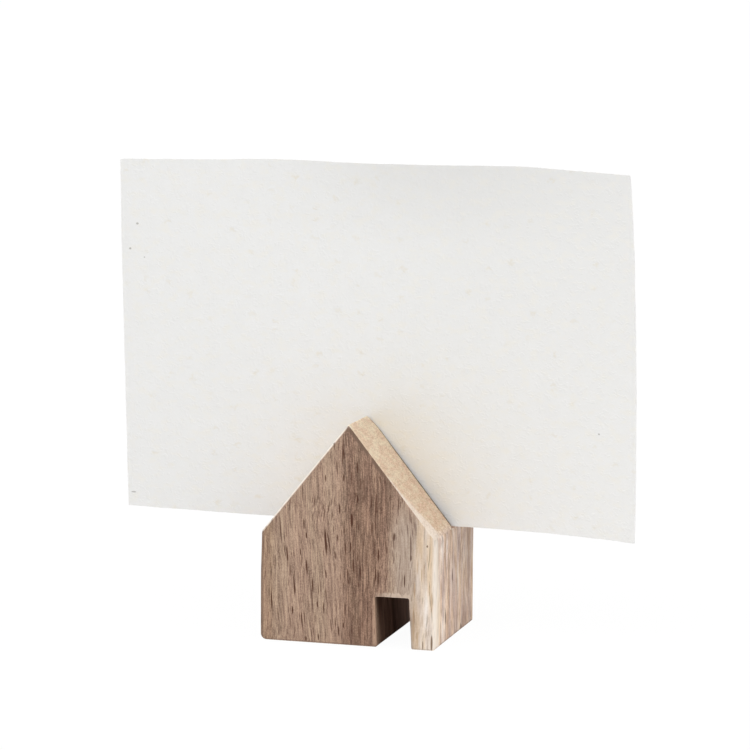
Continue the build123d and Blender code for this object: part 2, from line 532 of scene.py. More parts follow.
acacia = {
    # colour stops run from the darkest grain to the lightest
    "heart": ((0.0, (0.165, 0.100, 0.071)), (0.5, (0.380, 0.262, 0.191)), (1.0, (0.595, 0.430, 0.313))),
    "grey": ((0.0, (0.255, 0.177, 0.132)), (0.35, (0.375, 0.277, 0.213)),
             (0.65, (0.458, 0.357, 0.284)), (1.0, (0.560, 0.452, 0.364))),
    "outer": ((0.0, (0.310, 0.195, 0.140)), (0.35, (0.490, 0.335, 0.250)),
              (0.65, (0.635, 0.475, 0.368)), (1.0, (0.810, 0.680, 0.550))),
    "sap": ((0.0, (0.400, 0.275, 0.185)), (0.35, (0.630, 0.510, 0.405)),
            (0.65, (0.765, 0.655, 0.545)), (1.0, (0.855, 0.770, 0.670))),
    "endGrain": ((0.0, (0.440, 0.300, 0.200)), (0.5, (0.620, 0.465, 0.330)), (1.0, (0.770, 0.620, 0.470))),
    # painted shade: the saw cuts in the door and the slot are far darker than bare wood, partly burn; the
    # rear ramp is painted light
    "scorchAndShade": ((0.0, (0.120, 0.070, 0.050)), (0.5, (0.250, 0.150, 0.110)), (1.0, (0.380, 0.245, 0.180))),
    "rearLitScorch": ((0.0, (0.300, 0.215, 0.180)), (0.5, (0.500, 0.365, 0.310)), (1.0, (0.660, 0.500, 0.430))),
    "duskTint": ((0.0, (0.400, 0.320, 0.290)), (1.0, (0.800, 0.720, 0.690))),  # redder wood by the middle
    "frontSideTint": (1.22, 1.29, 1.36),  # the right wall, from its front to its rear foot and rear eave
    "rearFootTint": (0.93, 0.94, 0.95),
    # painted shade: the card's shadow on the wall's rear under the eave
    "rearEaveShadeTint": (0.76, 0.79, 0.81),
    "innerShadeTint": (0.52, 0.48, 0.46),  # painted shade, darkest just inside the door's mouth
    "lowSapTint": (1.10, 1.12, 1.13),  # the sapwood yellows upwards
    "highSapTint": (0.95, 0.925, 0.89),
    "innerSapTint": (0.88, 0.87, 0.87),  # next to the heartwood, low down
    "roofSapTint": (0.91, 0.88, 0.87),
    "tanTint": (1.03, 0.98, 0.89),  # hues that come and go in the pale wood
    "lavenderTint": (0.98, 1.01, 1.09),
    "pinkTint": (1.015, 0.985, 0.98),  # and in the heartwood
    "oliveTint": (0.99, 1.0, 0.98),
    "pinkRoofTint": (1.02, 0.97, 0.97),  # and in the end grain
    "tanRoofTint": (0.99, 1.02, 1.01),
    "lowRoofTint": (0.975, 0.965, 0.96),
    "highRoofTint": (1.07, 1.12, 1.14),
    "leftRoofTint": (1.14, 1.19, 1.25),  # the left slope is paler
    "roofBounce": (1.0, 0.86, 0.40),  # warms the light that the right slope throws on the paper
    "leftEdgeTint": (0.88, 0.84, 0.79),
    "barkSapAndHighlight": (0.900, 0.815, 0.725),  # the palest sapwood, at the corner, which also paints a highlight along its rounded edge
    "sapStain": (0.470, 0.310, 0.180),
    "poreBrown": (0.067, 0.020, 0.008),
    "sapPore": (0.200, 0.130, 0.080),
    # partly wear, partly painted highlight: the left verge and the door's left jamb
    "rubbedHighlightWood": (0.860, 0.780, 0.690),
    "jambHighlightWood": (0.560, 0.370, 0.260),
    # painted shade along the edges and low down
    "paintedShadeWood": (0.160, 0.100, 0.070),
    "tornWood": (0.640, 0.510, 0.400),
    # partly saw burn, partly painted shade of the slot's gap
    "burntAndShadedEdge": (0.110, 0.078, 0.050),
    "strength": {  # how much of each mark shows
        "dusk": 0.95, "stain": 0.6, "jamb": 0.6, "rubbedHighlight": 0.9, "torn": 0.75,
        "frontPores": 0.95, "sidePores": 0.75, "roofPores": 0.15, "roofBark": 0.3,
    },
    "gloss": 0.3,
    "roughness": (0.62, 0.80),
    "bump": {"Strength": 0.5, "Distance": 0.00006},
    "wander": 0.5,
    "slant": 0.07,  # how far the grain left of the middle leans, and the height it leans about
    "slantLevel": 22.0,
    "slantStart": (6.0, -6.0),
    "slantEnd": (-20.5, -14.5),  # the left edge keeps only a share of the lean
    "slantLeast": 0.2,
    # patterns: how often each repeats in a millimetre along X, Y and Z, its detail and its roughness
    "patterns": {
        "drift": ((0.07, 0.07, 0.07), 1.0, 0.5),
        "fibre": ((3.8, 3.8, 0.15), 1.0, 0.5),
        "speck": ((4.6, 4.6, 3.0), 0.0, 0.5),
        "streak": ((1.5, 1.5, 0.06), 1.0, 0.5),
        "band": ((0.28, 0.28, 0.010), 1.0, 0.5),
        "stripe": ((0.55, 0.30, 0.045), 3.0, 0.65),
        "tint": ((0.45, 0.45, 0.03), 1.0, 0.5),
        "crowd": ((0.4, 0.4, 0.03), 1.0, 0.5),
        "zoneWobble": ((0.4, 0.4, 0.08), 3.0, 0.5),
        "edgePatch": ((0.7, 0.7, 0.35), 2.0, 0.5),
        "tornEnds": ((1.3, 1.3, 0.5), 2.0, 0.5),
        "wavy": ((0.7, 0.35, 0.11), 3.0, 0.65),
        "paleHue": ((0.6, 0.45, 0.06), 2.0, 0.5),
        "roofFleck": ((3.2, 1.3, 2.6), 2.0, 0.6),
        "roofMottle": ((0.7, 0.35, 0.6), 2.0, 0.6),
        "burnAndShade": ((0.5, 0.5, 0.5), 2.0, 0.5),
    },
    # random pores: how often they repeat, where a dash ends and is full, how rare a faint and a dark one are
    "shortPores": ((1.8, 0.22, 0.0), (0.24, 0.12), (0.30, 0.95)),
    "middlingPores": ((1.1, 0.095, 0.0), (0.19, 0.10), (0.25, 0.85)),
    "longPores": ((0.62, 0.030, 0.0), (0.12, 0.06), (0.35, 0.75)),
    "roofPores": ((2.2, 0.9, 0.0), (0.34, 0.14), (0.3, 0.8)),
    # sapwood edge: millimetres right of the middle at the front, its rise with height, slant and softness
    "frontSap": {
        "Sap Edge": 15.2, "Sap Rise": 0.0024, "Sap Across": 0.765, "Sap Inward": 0.75, "Sap Blend": 2.0,
    },
    "roofSap": {
        "Sap Edge": 9.7, "Sap Rise": 0.0, "Sap Across": 0.562, "Sap Inward": 1.15, "Sap Blend": 1.7,
    },
    # where the heartwood's zones begin and are full: millimetres right of the middle, or heights
    "zones": {
        "grey": (8.8, 12.4),
        "greyHeights": (36.0, 25.0),
        "outer": (15.5, 19.5),
        "duskLeft": (-3.4, 1.4),
        "duskRight": (4.5, -1.6),  # from a line that leans to the right
        "duskLine": (5.5, 0.11),  # its foot, and its lean
        "duskHeights": (30.0, 47.0),
        "duskTop": 0.80,  # how much of it is left at the top
    },
    # where the marks along the edges begin and are full: millimetres from an edge, or heights
    "edges": {
        "gableEnd": (1.4, 0.4),
        "rubbedHighlightVerge": (0.42, 0.18),
        "jamb": (0.8, 0.2),
        "jambHead": (0.2, -0.5),
        # painted shade: under the right verge, along the base, up the left wall's edges, beside the door's
        # right post
        "shadedVerge": (1.2, 0.5),
        "shadedVergeEnd": (12.0, 6.0),  # right of the middle
        "shadedBase": (0.6, 0.1),
        "shadedFoot": (8.0, 0.0),
        "shadedSide": (0.5, 0.1),
        "shadedPost": (1.6, 0.4),
        "shadedPostHeights": (9.0, 6.0),
        "burntAndShadedSlot": (0.9, 0.3),
    },
    # where the tints of the long grain and the scorched cuts change, with the cuts' painted light and shade,
    # in metres
    "spans": {
        "rearTintHeights": (0.004, 0.018),
        "sapTintHeights": (0.008, 0.020),
        "innerSap": (0.0182, 0.0156),
        "innerSapHeights": (0.020, 0.010),
        "leftEdge": (0.0035, 0.0016),  # from the left wall
        "rearLitScorch": (-0.006, 0.010),
        "innerShade": (0.010, 0.005),  # painted shade, behind the front
        "mouth": (0.0032, 0.0056),  # painted light: how far in the door's mouth is paler, at its head and at its foot
        "slotEnd": 0.003,
    },
    "markDepth": 1.0,  # how far a placed mark reaches into the wood, in millimetres
    # long open pores on the front: right of the middle, height, half length, half width, in millimetres
    "openPores": (
        (-5.1, 23.1, 3.3, 0.28), (-14.1, 19.8, 2.0, 0.18), (-10.2, 26.8, 1.3, 0.13), (-9.6, 24.3, 0.8, 0.17),
        (-1.9, 30.6, 1.3, 0.16), (0.9, 28.3, 1.6, 0.30), (0.7, 22.3, 1.2, 0.16), (7.1, 20.8, 1.6, 0.20),
        (-1.0, 43.0, 1.5, 0.13), (2.1, 40.2, 1.5, 0.13), (-17.7, 9.0, 2.6, 0.13), (-12.8, 7.1, 1.0, 0.18),
        (-10.6, 5.0, 2.1, 0.16), (-6.7, 1.4, 0.9, 0.14), (18.3, 23.4, 0.3, 0.20), (19.5, 1.6, 2.1, 0.22),
        (17.5, 1.0, 1.3, 0.14), (6.5, 31.8, 3.2, 0.14), (5.6, 26.5, 1.8, 0.13), (6.5, 16.4, 1.7, 0.14),
        (7.1, 15.6, 1.8, 0.15), (10.7, 25.1, 1.0, 0.20), (13.2, 15.3, 1.6, 0.15), (14.6, 20.6, 0.8, 0.18),
        (1.3, 18.1, 1.7, 0.17), (-9.5, 17.1, 1.9, 0.17), (-8.1, 13.0, 1.9, 0.16), (-2.3, 24.1, 0.9, 0.14),
        (-2.9, 20.2, 1.0, 0.13), (2.2, 33.1, 1.0, 0.16), (-1.0, 37.7, 0.9, 0.14), (-5.2, 37.4, 0.9, 0.13),
        (-12.4, 12.7, 2.7, 0.17), (-11.0, 20.5, 0.9, 0.13), (-5.0, 15.8, 1.1, 0.16), (-7.0, 8.8, 0.8, 0.16),
        (-5.5, 8.0, 1.4, 0.13), (-2.8, 5.0, 1.2, 0.14), (-2.0, 3.0, 1.2, 0.17), (-0.9, 4.4, 0.7, 0.19),
        (-9.6, 0.8, 0.6, 0.18),
    ),
    # marks on the right wall: behind the middle, height, half length, half width
    "sideMarks": (
        (-7.7, 5.9, 1.9, 0.34), (-7.1, 5.1, 1.6, 0.32), (-1.9, 14.3, 1.7, 0.30), (-1.3, 13.4, 1.4, 0.26),
        (6.3, 0.6, 1.0, 0.40), (7.0, 0.4, 0.8, 0.40), (4.0, 20.5, 2.4, 0.30),
    ),
    # brown stains in the sapwood on the front
    "sapStains": (
        (19.4, 10.8, 2.4, 0.30), (18.9, 13.6, 1.4, 0.20), (15.3, 5.5, 4.5, 0.28), (16.2, 18.6, 1.8, 0.16),
        (17.1, 16.9, 1.7, 0.16), (16.2, 2.2, 2.0, 0.20), (17.3, 6.5, 1.6, 0.13), (18.3, 20.6, 1.1, 0.14),
        (15.5, 13.3, 2.0, 0.24), (18.2, 3.6, 1.5, 0.12),
    ),
}


def woodNoise(tree, spot, name, output="Fac"):
    return scaledNoise(tree, spot, *acacia["patterns"][name], output)


def slantGrain(tree, spot):
    apart = apartXYZ(tree, spot)
    lean = fadeBetween(tree, apart["X"], *acacia["slantStart"], 0.0, acacia["slant"])
    lean = product(tree, lean, fadeBetween(tree, apart["X"], *acacia["slantEnd"], acacia["slantLeast"], 1.0))
    shift = product(tree, minus(tree, apart["Z"], acacia["slantLevel"]), lean)
    return vectorCalc(tree, "ADD", spot, joinXYZ(tree, X=shift))


def leanAt(x, z):
    # the same lean as slantGrain gives, for a mark at a listed place
    least = acacia["slantLeast"]
    lean = acacia["slant"] * (1.0 - smoothStep(x, *reversed(acacia["slantStart"])))
    lean *= least + (1.0 - least) * smoothStep(x, *acacia["slantEnd"])
    return lean * (z - acacia["slantLevel"])


def poreDashes(tree, place, repeats, edge, rarity):
    # one dash to a cell; the rarer its chance, the darker it is
    cells = scaledCells(tree, place, repeats)
    chance = apartColour(tree, cells["Color"])[0]
    return product(tree, fadeBetween(tree, cells["Distance"], *edge), fadeBetween(tree, chance, *rarity))


def buildAcaciaGrain():
    outputs = ("Tone", "Stripes", "Tint", "Pores", "Fibres")
    group, take, give = newGroup("acaciaGrain", ("Wander",), outputs)
    spot = slantGrain(group, millimetres(group, take["Position"]))
    drift = vectorCalc(group, "SUBTRACT", woodNoise(group, spot, "drift", "Color"), (0.5, 0.5, 0.5))
    sway = {0: stretched(group, drift, (2.0, 6.0, 0.0)), "Scale": take["Wander"]}
    drift = addNode(group, "ShaderNodeVectorMath", sway, operation="SCALE").outputs[0]
    grain = vectorCalc(group, "ADD", spot, drift)

    names = ("fibre", "speck", "streak", "band", "stripe", "tint", "crowd")
    fibre, speck, streak, band, stripe, tint, crowd = (woodNoise(group, grain, name) for name in names)
    tone = weighted(group, ((fibre, 0.48), (speck, 0.22), (streak, 0.16), (band, 0.14)))

    # pores crowd together in places; most are faint and a few are strong
    crowd = fadeBetween(group, crowd, 0.35, 0.6, 0.65, 1.0)
    apart = apartXYZ(group, grain)
    wrapped = joinXYZ(group, X=plus(group, apart["X"], apart["Y"]), Y=apart["Z"])
    sizes = (acacia[name] for name in ("shortPores", "middlingPores", "longPores"))
    short, middling, long = (poreDashes(group, wrapped, *size) for size in sizes)
    pores = largest(group, (product(group, short, 0.75), product(group, middling, 0.85), long))
    putOut(group, give, {
        "Tone": fadeBetween(group, tone, 0.24, 0.76),
        "Stripes": fadeBetween(group, stripe, 0.33, 0.67),
        "Tint": fadeBetween(group, tint, 0.35, 0.65),
        "Pores": product(group, pores, crowd),
        "Fibres": fibre,
    })
    return group


def buildAcaciaZones():
    outputs = ("Sapwood", "Bark Side And Corner Highlight", "Grey Heart", "Outer Heart", "Dusk Heart")
    group, take, give = newGroup("acaciaZones", acacia["frontSap"], outputs)
    zones = acacia["zones"]
    spot = millimetres(group, take["Position"])
    apart = apartXYZ(group, spot)
    wobble = product(group, minus(group, woodNoise(group, spot, "zoneWobble"), 0.5), 4.0)

    rise = product(group, apart["Z"], apart["Z"], take["Sap Rise"])
    across = minus(group, minus(group, apart["X"], take["Sap Edge"]), rise)
    fromFront = plus(group, apart["Y"], halfDepth * toMillimetres)
    inward = product(group, fromFront, take["Sap Inward"])
    depth = minus(group, product(group, across, take["Sap Across"]), inward)
    start, end = (product(group, take["Sap Blend"], share) for share in (-0.6, 0.4))
    # the bark was nearest at the front right corner; this band along the rounded corner is also a painted
    # highlight
    fromSide = product(group, minus(group, halfWidth * toMillimetres, apart["X"]), 1.5)
    fromFront = product(group, fromFront, 0.22)
    corner = plus(group, product(group, fromSide, fromSide), product(group, fromFront, fromFront))
    corner = plus(group, calc(group, "SQRT", corner), product(group, wobble, 0.22))
    corner = fadeBetween(group, corner, 1.1, 0.0, 0.0, 0.9)
    greyed = fadeBetween(group, plus(group, apart["X"], wobble), *zones["grey"])

    # the dusky wood widens upwards to the right, between two soft edges
    dusky = plus(group, apart["X"], product(group, wobble, 0.6))
    foot, lean = zones["duskLine"]
    rightEdge = plus(group, product(group, apart["Z"], lean), foot)
    afterLeft = fadeBetween(group, dusky, *zones["duskLeft"])
    beforeRight = fadeBetween(group, minus(group, dusky, rightEdge), *zones["duskRight"])
    strength = fadeBetween(group, apart["Z"], *zones["duskHeights"], 1.0, zones["duskTop"])
    putOut(group, give, {
        "Sapwood": fadeBetween(group, plus(group, depth, wobble), start, end),
        "Bark Side And Corner Highlight": largest(group, (fadeBetween(group, depth, 2.2, 4.6, 0.0, 0.35), corner)),
        "Grey Heart": product(group, greyed, fadeBetween(group, apart["Z"], *zones["greyHeights"])),
        "Outer Heart": fadeBetween(group, apart["X"], *zones["outer"]),
        "Dusk Heart": product(group, afterLeft, beforeRight, strength),
    })
    return group


def buildEdgeMarks():
    # light edges: partly rubbed by hands, partly painted highlight; dark edges: painted shade
    group, take, give = newGroup("edgeMarks", (), ("Rubbed Highlight", "Jamb Highlight", "Painted Shade"))
    edges = acacia["edges"]
    spot = millimetres(group, take["Position"])
    apart = apartXYZ(group, spot)
    heights = ("eaveHeight", "ridgeHeight", "doorHeight")
    eave, ridge, head = (houseBlock[name] * toMillimetres for name in heights)
    half = halfWidth * toMillimetres
    slope = (ridge - eave) / half
    outward = absolute(group, apart["X"])
    onLeft = fadeBetween(group, apart["X"], 1.0, -1.0)
    onRight = minus(group, 1.0, onLeft)
    fromEnd = minus(group, halfDepth * toMillimetres, absolute(group, apart["Y"]))
    nearEnd = fadeBetween(group, fromEnd, *edges["gableEnd"])

    roofLine = minus(group, ridge, product(group, outward, slope))
    fromVerge = product(group, minus(group, roofLine, apart["Z"]), 1.0 / (1.0 + slope * slope) ** 0.5)
    # the left verge's thin light line: partly rubbed, partly painted highlight on its rounded edge
    rubbedHighlight = product(group, fadeBetween(group, fromVerge, *edges["rubbedHighlightVerge"]), onLeft, nearEnd)
    # the door's left jamb is lighter: partly rubbed, partly painted highlight on its rounded edge
    fromJamb = absolute(group, minus(group, apart["X"], doorLeft * toMillimetres))
    underHead = fadeBetween(group, apart["Z"], *(head + step for step in edges["jambHead"]))
    jamb = product(group, fadeBetween(group, fromJamb, *edges["jamb"]), underHead)

    # painted shade: dark lines under the right verge, along the base and up the left wall's upright edges,
    # low beside the door's right post, and faintly over the lowest part of the walls
    upperVerge = fadeBetween(group, apart["X"], *edges["shadedVergeEnd"])
    verge = product(group, fadeBetween(group, fromVerge, *edges["shadedVerge"]), onRight, upperVerge)
    base = fadeBetween(group, apart["Z"], *edges["shadedBase"])
    footShade = fadeBetween(group, apart["Z"], *edges["shadedFoot"], 0.0, 0.12)
    fromSide = minus(group, half, outward)
    side = product(group, fadeBetween(group, fromSide, *edges["shadedSide"]), onLeft, nearEnd)
    fromPost = absolute(group, minus(group, apart["X"], doorRight * toMillimetres))
    lowPost = fadeBetween(group, apart["Z"], *edges["shadedPostHeights"])
    post = product(group, fadeBetween(group, fromPost, *edges["shadedPost"], 0.0, 0.8), lowPost)

    patch = fadeBetween(group, woodNoise(group, spot, "edgePatch"), 0.2, 0.5, 0.4, 1.0)
    shadeStrength = fadeBetween(group, patch, 0.4, 1.0, 1.0, 1.5)
    base = largest(group, (base, footShade))
    edgeShade = largest(group, (product(group, verge, shadeStrength), base, side, post))
    putOut(group, give, {
        "Rubbed Highlight": product(group, rubbedHighlight, fadeBetween(group, patch, 0.4, 1.0, 0.8, 1.0)),
        "Jamb Highlight": product(group, jamb, patch),
        "Painted Shade": product(group, edgeShade, fadeBetween(group, patch, 0.4, 0.8, 0.6, 1.0)),
    })
    return group


def finishWood(tree, shader, colour, fibres, pores, gloss):
    roughness = fadeBetween(tree, fibres, 0.3, 0.7, *acacia["roughness"])
    height = minus(tree, product(tree, fibres, 0.6), pores)
    finishSurface(tree, shader, colour, roughness, gloss, {"Height": height, **acacia["bump"]})


def frontMarks(tree, spot, places):
    front = -halfDepth * toMillimetres
    deep = acacia["markDepth"]
    masks = []
    for x, z, halfLength, halfMark in places:
        masks.append(ovalMark(tree, spot, (x + leanAt(x, z), front, z), (halfMark, deep, halfLength)))
    return largest(tree, masks)


def sideMarks(tree, spot, places):
    right = halfWidth * toMillimetres
    deep = acacia["markDepth"]
    masks = []
    for y, z, halfLength, halfMark in places:
        masks.append(ovalMark(tree, spot, (right, y, z), (deep, halfMark, halfLength)))
    return largest(tree, masks)


def tornFibres(tree, spot):
    # pale broken fibres over the door's head, on the front
    left, right, head = (size * toMillimetres for size in (doorLeft, doorRight, houseBlock["doorHeight"]))
    front = halfDepth * toMillimetres
    apart = apartXYZ(tree, spot)
    above = minus(tree, apart["Z"], head)
    ragged = product(tree, woodNoise(tree, spot, "tornEnds"), 3.0)
    return product(
        tree,
        fadeBetween(tree, minus(tree, above, ragged), -0.1, -0.7),
        fadeBetween(tree, apart["X"], left + 0.5, left + 3.5, 0.25, 1.0),
        fadeBetween(tree, apart["X"], right + 0.3, right - 0.3),
        fadeBetween(tree, apart["X"], left - 0.2, left + 0.4),
        fadeBetween(tree, above, -1.2, -0.6),
        fadeBetween(tree, apart["Y"], 1.2 - front, 0.6 - front),
    )


def heartColour(tree, grain, zones):
    tone = grain["Tone"]
    tint = mixColour(tree, grain["Tint"], acacia["pinkTint"], acacia["oliveTint"])
    colour = tinted(tree, rampColour(tree, tone, acacia["heart"]), tint)
    dusky = product(tree, zones["Dusk Heart"], acacia["strength"]["dusk"])
    colour = tinted(tree, colour, rampColour(tree, tone, acacia["duskTint"]), dusky)
    greyTone = weighted(tree, ((tone, 0.75), (grain["Stripes"], 0.25)))
    return mixColour(tree, zones["Grey Heart"], colour, rampColour(tree, greyTone, acacia["grey"]))


def wallColour(tree, apart, tone):
    # the right wall is darker towards its rear, most of all under the eave, where it is painted shade from
    # the card
    rearward = fadeBetween(tree, apart["Y"], -halfDepth, halfDepth)
    upward = fadeBetween(tree, apart["Z"], *acacia["spans"]["rearTintHeights"])
    rearTint = mixColour(tree, upward, acacia["rearFootTint"], acacia["rearEaveShadeTint"])
    tint = mixColour(tree, rearward, acacia["frontSideTint"], rearTint)
    return tinted(tree, rampColour(tree, tone, acacia["outer"]), tint)


def sapwoodTint(tree, apart):
    spans = acacia["spans"]
    upward = fadeBetween(tree, apart["Z"], *spans["sapTintHeights"])
    tint = mixColour(tree, upward, acacia["lowSapTint"], acacia["highSapTint"])
    inner = fadeBetween(tree, apart["X"], *spans["innerSap"])
    inner = product(tree, inner, fadeBetween(tree, apart["Z"], *spans["innerSapHeights"], 0.3, 1.0))
    return mixColour(tree, inner, tint, acacia["innerSapTint"])


def sapColour(tree, tone, zones, heart, tint, barkShare=1.0):
    sap = tinted(tree, rampColour(tree, tone, acacia["sap"]), tint)
    # palest sapwood, with a painted highlight along the rounded front right corner
    sap = covered(tree, sap, zones["Bark Side And Corner Highlight"], barkShare, acacia["barkSapAndHighlight"])
    return mixColour(tree, zones["Sapwood"], heart, sap)


def openPores(tree, spot, slanted, grain, zones):
    strength = acacia["strength"]
    inHeart = fadeBetween(tree, zones["Dusk Heart"], 0.0, 1.0, 0.85, 1.0)
    inSap = fadeBetween(tree, zones["Sapwood"], 0.0, 1.0, 1.0, 0.65)
    return largest(tree, (
        product(tree, grain["Pores"], inHeart, inSap),
        product(tree, frontMarks(tree, slanted, acacia["openPores"]), strength["frontPores"]),
        product(tree, sideMarks(tree, spot, acacia["sideMarks"]), strength["sidePores"]),
    ))


def longGrainMaterial():
    material, tree, shader = newMaterial("acaciaLongGrain")
    strength = acacia["strength"]
    place = objectPosition(tree)
    apart = apartXYZ(tree, place)
    spot = millimetres(tree, place)
    slanted = slantGrain(tree, spot)
    grain = useGroup(tree, grainGroup, {"Position": place, "Wander": acacia["wander"]})
    zones = useGroup(tree, zoneGroup, {"Position": place, **acacia["frontSap"]})
    marks = useGroup(tree, markGroup, {"Position": place})
    wavy = fadeBetween(tree, woodNoise(tree, spot, "wavy"), 0.25, 0.75)
    striped = weighted(tree, ((grain["Tone"], 0.38), (grain["Stripes"], 0.28), (wavy, 0.34)))
    striped = fadeBetween(tree, striped, 0.08, 0.92)
    streaked = weighted(tree, ((grain["Tone"], 0.4), (grain["Stripes"], 0.25), (wavy, 0.35)))
    hue = fadeBetween(tree, woodNoise(tree, spot, "paleHue"), 0.35, 0.65)
    hue = mixColour(tree, hue, acacia["tanTint"], acacia["lavenderTint"])

    wall = tinted(tree, wallColour(tree, apart, striped), hue)
    colour = mixColour(tree, zones["Outer Heart"], heartColour(tree, grain, zones), wall)
    colour = sapColour(tree, streaked, zones, colour, tinted(tree, sapwoodTint(tree, apart), hue))
    stained = frontMarks(tree, slanted, acacia["sapStains"])
    colour = covered(tree, colour, stained, strength["stain"], acacia["sapStain"])
    leftEdge = fadeBetween(tree, apart["X"], *(reach - halfWidth for reach in acacia["spans"]["leftEdge"]))
    colour = tinted(tree, colour, acacia["leftEdgeTint"], leftEdge)
    # partly wear, partly painted highlight on the rounded jamb and left verge
    colour = covered(tree, colour, marks["Jamb Highlight"], strength["jamb"], acacia["jambHighlightWood"])
    colour = covered(tree, colour, marks["Rubbed Highlight"], strength["rubbedHighlight"], acacia["rubbedHighlightWood"])
    colour = covered(tree, colour, tornFibres(tree, spot), strength["torn"], acacia["tornWood"])
    pores = openPores(tree, spot, slanted, grain, zones)
    poreColour = mixColour(tree, zones["Sapwood"], acacia["poreBrown"], acacia["sapPore"])
    colour = mixColour(tree, pores, colour, poreColour)
    # painted shade along the edges and low down, weaker in the sapwood
    shadeStrength = fadeBetween(tree, zones["Sapwood"], 0.0, 1.0, 0.6, 0.25)
    colour = covered(tree, colour, marks["Painted Shade"], shadeStrength, acacia["paintedShadeWood"])
    finishWood(tree, shader, colour, grain["Fibres"], pores, acacia["gloss"])
    return material


def burntAndShadedSlotEdge(tree, spot, apart, eave):
    # darker along the slot's edges, most at the eaves: partly saw burn, partly painted shade of the gap
    # beside the card
    fromSlot = minus(tree, absolute(tree, apart["Y"]), slotHalf * toMillimetres)
    return product(
        tree,
        fadeBetween(tree, fromSlot, *acacia["edges"]["burntAndShadedSlot"]),
        fadeBetween(tree, apart["Z"], eave - 3.0, eave - 1.5),
        fadeBetween(tree, absolute(tree, apart["X"]), 1.0, 10.0, 0.4, 1.0),
        fadeBetween(tree, woodNoise(tree, spot, "burnAndShade"), 0.3, 0.6, 0.6, 1.0),
    )


def endGrainMaterial():
    material, tree, shader = newMaterial("acaciaEndGrain")
    strength = acacia["strength"]
    place = objectPosition(tree)
    spot = millimetres(tree, place)
    apart = apartXYZ(tree, spot)
    zones = useGroup(tree, zoneGroup, {"Position": place, **acacia["roofSap"]})
    marks = useGroup(tree, markGroup, {"Position": place})
    eave, ridge = (houseBlock[name] * toMillimetres for name in ("eaveHeight", "ridgeHeight"))
    # the rays run from front to back, so the flecks are longest that way
    fleck = woodNoise(tree, spot, "roofFleck")
    mottle = woodNoise(tree, spot, "roofMottle")
    pores = poreDashes(tree, spot, *acacia["roofPores"])
    tone = fadeBetween(tree, weighted(tree, ((fleck, 0.64), (mottle, 0.36))), 0.20, 0.80)
    hue = fadeBetween(tree, mottle, 0.40, 0.58)
    hue = mixColour(tree, hue, acacia["pinkRoofTint"], acacia["tanRoofTint"])
    colour = tinted(tree, rampColour(tree, tone, acacia["endGrain"]), hue)
    upward = fadeBetween(tree, apart["Z"], eave, ridge)
    colour = tinted(tree, colour, mixColour(tree, upward, acacia["lowRoofTint"], acacia["highRoofTint"]))
    onLeft = fadeBetween(tree, apart["X"], 1.0, -1.0)
    colour = tinted(tree, colour, acacia["leftRoofTint"], onLeft)
    # the eaves are rounded over, so the walls' colour begins above them
    rearward = fadeBetween(tree, apart["Y"], -halfDepth * toMillimetres, halfDepth * toMillimetres)
    # towards the rear the wall's colour carries the painted shade under the card
    wallTint = mixColour(tree, rearward, acacia["frontSideTint"], acacia["rearEaveShadeTint"])
    wall = tinted(tree, rampColour(tree, tone, acacia["outer"]), wallTint)
    low = minus(tree, apart["Z"], product(tree, mottle, 2.0))
    colour = mixColour(tree, fadeBetween(tree, low, eave + 0.4, eave - 1.4), colour, wall)
    sapTone = fadeBetween(tree, tone, -0.6, 1.0)
    colour = sapColour(tree, sapTone, zones, colour, acacia["roofSapTint"], strength["roofBark"])
    colour = covered(tree, colour, pores, strength["roofPores"], acacia["poreBrown"])
    # partly wear, partly painted highlight on the left verge
    colour = covered(tree, colour, marks["Rubbed Highlight"], strength["rubbedHighlight"], acacia["rubbedHighlightWood"])
    # darker along the slot: partly saw burn, partly painted shade
    colour = mixColour(tree, burntAndShadedSlotEdge(tree, spot, apart, eave), colour, acacia["burntAndShadedEdge"])
    thrown = addNode(tree, "ShaderNodeLightPath").outputs["Is Diffuse Ray"]
    thrown = product(tree, thrown, minus(tree, 1.0, onLeft))
    colour = tinted(tree, colour, acacia["roofBounce"], thrown)
    finishWood(tree, shader, colour, fleck, pores, acacia["gloss"])
    return material


def scorchedAndShadedMaterial():
    material, tree, shader = newMaterial("acaciaScorchedAndShaded")
    spans = acacia["spans"]
    place = objectPosition(tree)
    apart = apartXYZ(tree, place)
    grain = useGroup(tree, grainGroup, {"Position": place, "Wander": acacia["wander"]})
    striped = weighted(tree, ((grain["Tone"], 0.4), (grain["Stripes"], 0.6)))
    # painted shade over partly burnt wood
    colour = rampColour(tree, striped, acacia["scorchAndShade"])
    # painted light and shade over the burnt cut: paler towards the rear, at the mouth, most of all at its
    # foot, and at the slot's ends; darkest just inside the front
    rearward = fadeBetween(tree, apart["Y"], *spans["rearLitScorch"])
    colour = mixColour(tree, rearward, colour, rampColour(tree, striped, acacia["rearLitScorch"]))
    innerShaded = fadeBetween(tree, apart["Y"], *(reach - halfDepth for reach in spans["innerShade"]))
    colour = tinted(tree, colour, acacia["innerShadeTint"], innerShaded)
    lower = fadeBetween(tree, apart["Z"], houseBlock["doorHeight"], 0.0, *spans["mouth"])
    inward = minus(tree, halfDepth, absolute(tree, apart["Y"]))
    mouth = fadeBetween(tree, calc(tree, "DIVIDE", inward, lower), 1.0, 0.0, 0.0, 0.9)
    outward = absolute(tree, apart["X"])
    slotEnd = fadeBetween(tree, outward, halfWidth - spans["slotEnd"], halfWidth, 0.0, 0.7)
    heart = rampColour(tree, grain["Tone"], acacia["heart"])
    colour = mixColour(tree, largest(tree, (mouth, slotEnd)), colour, heart)
    finishWood(tree, shader, colour, grain["Fibres"], grain["Pores"], 0.0)
    return material


grainGroup = buildAcaciaGrain()
zoneGroup = buildAcaciaZones()
markGroup = buildEdgeMarks()
print("acacia effects built")


# Place card: one sheet of thick handmade paper, leaning in the slot

